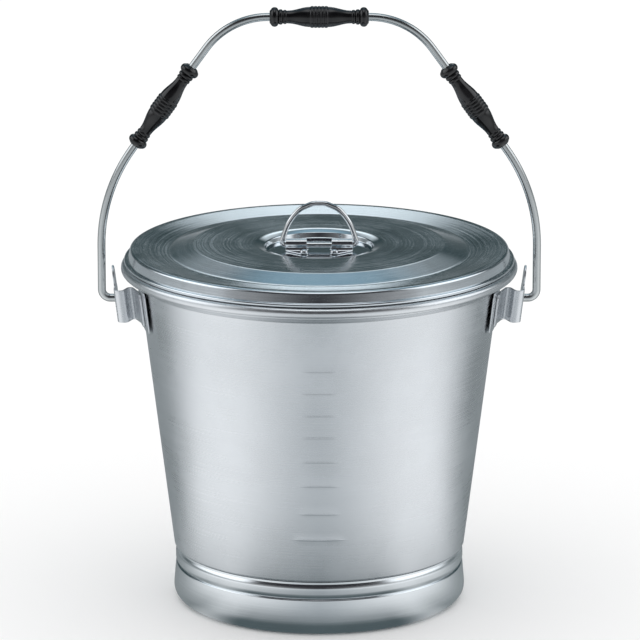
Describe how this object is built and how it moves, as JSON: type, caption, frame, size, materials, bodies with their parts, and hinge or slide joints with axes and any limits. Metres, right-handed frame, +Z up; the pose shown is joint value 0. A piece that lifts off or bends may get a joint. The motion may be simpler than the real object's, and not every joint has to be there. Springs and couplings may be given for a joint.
{
  "type": "milk pail",
  "caption": "Lidded stainless steel milk pail with a tapered wall, rolled rim, foot ring, wire bail with turned grips and a ring handle on the lid.",
  "frame": {"origin": "on the floor under the centre of the pail", "axes": "+Z up along the pail's axis, +X to the right ear along the bail's pivot line, -Y to the front, where the litre marks are"},
  "size_m": [0.3576, 0.32, 0.4892],
  "materials": {
    "satin_steel": "satin",
    "polished_steel": "polished",
    "lid_steel": "semi-polished, spun",
    "wire_steel": "bright drawn wire",
    "grip_black": "gloss"
  },
  "bodies": {
    "pail": {"body_wall": "satin_steel", "rim_wire": "wire_steel", "bottom_pan": "satin_steel", "foot_ring": "polished_steel", "ear_pad_left": "satin_steel", "ear_pad_right": "satin_steel", "ear_strap_left": "satin_steel", "ear_strap_right": "satin_steel"},
    "lid": {"lid_shell": "lid_steel", "handle_clip_left": "polished_steel", "handle_clip_right": "polished_steel", "rivet_left_front": "polished_steel", "rivet_left_back": "polished_steel", "rivet_right_front": "polished_steel", "rivet_right_back": "polished_steel"},
    "ring_handle": {"lid_ring": "wire_steel"},
    "bail": {"bail_wire": "wire_steel"},
    "middle_grip": {"grip_center": "grip_black"},
    "left_grip": {"grip_left": "grip_black"},
    "right_grip": {"grip_right": "grip_black"}
  },
  "joints": [
    {"name": "lid_lift", "type": "slide", "parent": "pail", "child": "lid", "axis": [0, 0, 1], "range_m": [0, 0.06]},
    {"name": "ring_fold", "type": "hinge", "parent": "lid", "child": "ring_handle", "pos_m": [0, 0, 0.2932], "axis": [1, 0, 0], "range_deg": [-90, 90]},
    {"name": "bail_swing", "type": "hinge", "parent": "pail", "child": "bail", "pos_m": [0, 0, 0.2494], "axis": [1, 0, 0], "range_deg": [-144, 144]},
    {"name": "middle_grip_spin", "type": "hinge", "parent": "bail", "child": "middle_grip", "pos_m": [0, 0, 0.4804], "axis": [1, 0, 0], "continuous": true},
    {"name": "left_grip_spin", "type": "hinge", "parent": "bail", "child": "left_grip", "pos_m": [-0.12464, 0, 0.40769], "axis": [0.5864, 0, 0.81], "continuous": true},
    {"name": "right_grip_spin", "type": "hinge", "parent": "bail", "child": "right_grip", "pos_m": [0.12464, 0, 0.40769], "axis": [-0.5864, 0, 0.81], "continuous": true}
  ]
}
